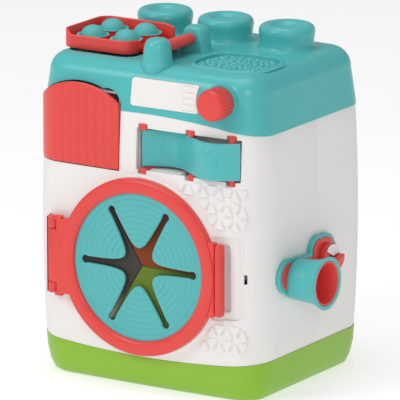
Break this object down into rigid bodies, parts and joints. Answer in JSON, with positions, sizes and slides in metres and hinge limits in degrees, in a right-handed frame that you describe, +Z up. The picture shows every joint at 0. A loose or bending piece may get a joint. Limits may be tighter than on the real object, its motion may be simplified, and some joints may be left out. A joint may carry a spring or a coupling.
{
  "type": "toy washing machine",
  "caption": "Toddler's play washing machine: bowed case with a round star-slit door, corner flap, lever tray with press domes, ball funnel, turning dial and tap, and block studs on top.",
  "frame": {"origin": "centre of the flat underside, on the floor it stands on", "axes": "+Z up, the door faces -Y, +X is to the right of someone looking at the door"},
  "size_m": [0.2714, 0.2083, 0.311],
  "materials": {
    "teal_plastic": "satin moulded shell",
    "white_plastic": "fine matt moulded shell",
    "green_plastic": "satin moulded shell",
    "red_plastic": "satin moulded",
    "teal_soft": "soft matt elastomer",
    "white_soft": "soft matt elastomer",
    "red_soft": "soft matt elastomer",
    "green_soft": "soft matt elastomer",
    "steel": "drawn pin stock",
    "black_plastic": "matt moulded",
    "grey_plastic": "matt moulded",
    "cell_wrap": "satin wrap",
    "board_green": "resist over laminate"
  },
  "bodies": {
    "machine": {"base_tub": "green_plastic", "front_shell": "white_plastic", "rear_shell": "white_plastic", "top_cap": "teal_plastic", "laundry_tub": "white_plastic", "hinge_bracket": "red_plastic", "door_pin": "steel", "flap_pin": "steel", "flap_pocket": "white_plastic", "window_tray": "white_plastic", "wave_band": "teal_plastic", "band_posts": "red_plastic", "inset_plate": "white_plastic", "tray_axle": "steel", "bubble_plate": "teal_plastic", "side_plate": "teal_plastic", "side_inlay": "red_plastic", "funnel": "teal_plastic", "chute": "red_plastic", "switch_body": "black_plastic", "battery_box": "black_plastic", "battery_door": "green_plastic", "battery_cells": "cell_wrap", "battery_screw": "steel", "circuit_board": "board_green", "speaker": "black_plastic", "case_screws": "steel"},
    "door": {"door_ring": "red_plastic", "star_panel": "teal_soft", "panel_retainer": "red_plastic", "veil_white": "white_soft", "veil_red": "red_soft", "veil_green": "green_soft", "handle_tab": "red_plastic"},
    "flap": {"corner_flap": "red_plastic"},
    "dial": {"dial": "red_plastic", "dial_clip": "steel"},
    "tray": {"tray": "red_plastic", "dome_collars": "teal_plastic"},
    "dome_1": {"dome_1": "teal_plastic"},
    "dome_2": {"dome_2": "teal_plastic"},
    "dome_3": {"dome_3": "teal_plastic"},
    "dome_4": {"dome_4": "teal_plastic"},
    "tap": {"tap": "red_plastic", "tap_fan": "white_plastic", "tap_clip": "steel"},
    "switch": {"switch_knob": "grey_plastic"}
  },
  "joints": [
    {"name": "door_hinge", "type": "hinge", "parent": "machine", "child": "door", "pos_m": [-0.088, -0.1015, 0.1116], "axis": [0, 0, -1], "range_deg": [0, 95]},
    {"name": "flap_hinge", "type": "hinge", "parent": "machine", "child": "flap", "pos_m": [-0.1139, -0.0545, 0.2], "axis": [0, 0, -1], "range_deg": [0, 95]},
    {"name": "dial_turn", "type": "hinge", "parent": "machine", "child": "dial", "pos_m": [0.0774, -0.0924, 0.266], "axis": [0, -1, 0], "continuous": true},
    {"name": "tray_hinge", "type": "hinge", "parent": "machine", "child": "tray", "pos_m": [0.003, -0.0435, 0.3], "axis": [0, 1, 0], "range_deg": [0, 100]},
    {"name": "dome_1_press", "type": "slide", "parent": "tray", "child": "dome_1", "axis": [0, 0, -1], "range_m": [0, 0.003], "stiffness_N_per_m": 300, "springref_m": -0.001},
    {"name": "dome_2_press", "type": "slide", "parent": "tray", "child": "dome_2", "axis": [0, 0, -1], "range_m": [0, 0.003], "stiffness_N_per_m": 300, "springref_m": -0.001},
    {"name": "dome_3_press", "type": "slide", "parent": "tray", "child": "dome_3", "axis": [0, 0, -1], "range_m": [0, 0.003], "stiffness_N_per_m": 300, "springref_m": -0.001},
    {"name": "dome_4_press", "type": "slide", "parent": "tray", "child": "dome_4", "axis": [0, 0, -1], "range_m": [0, 0.003], "stiffness_N_per_m": 300, "springref_m": -0.001},
    {"name": "tap_turn", "type": "hinge", "parent": "machine", "child": "tap", "pos_m": [0.12, 0.0098, 0.1144], "axis": [1, 0, 0], "continuous": true},
    {"name": "switch_slide", "type": "slide", "parent": "machine", "child": "switch", "axis": [0, 0, -1], "range_m": [0, 0.0034]}
  ]
}
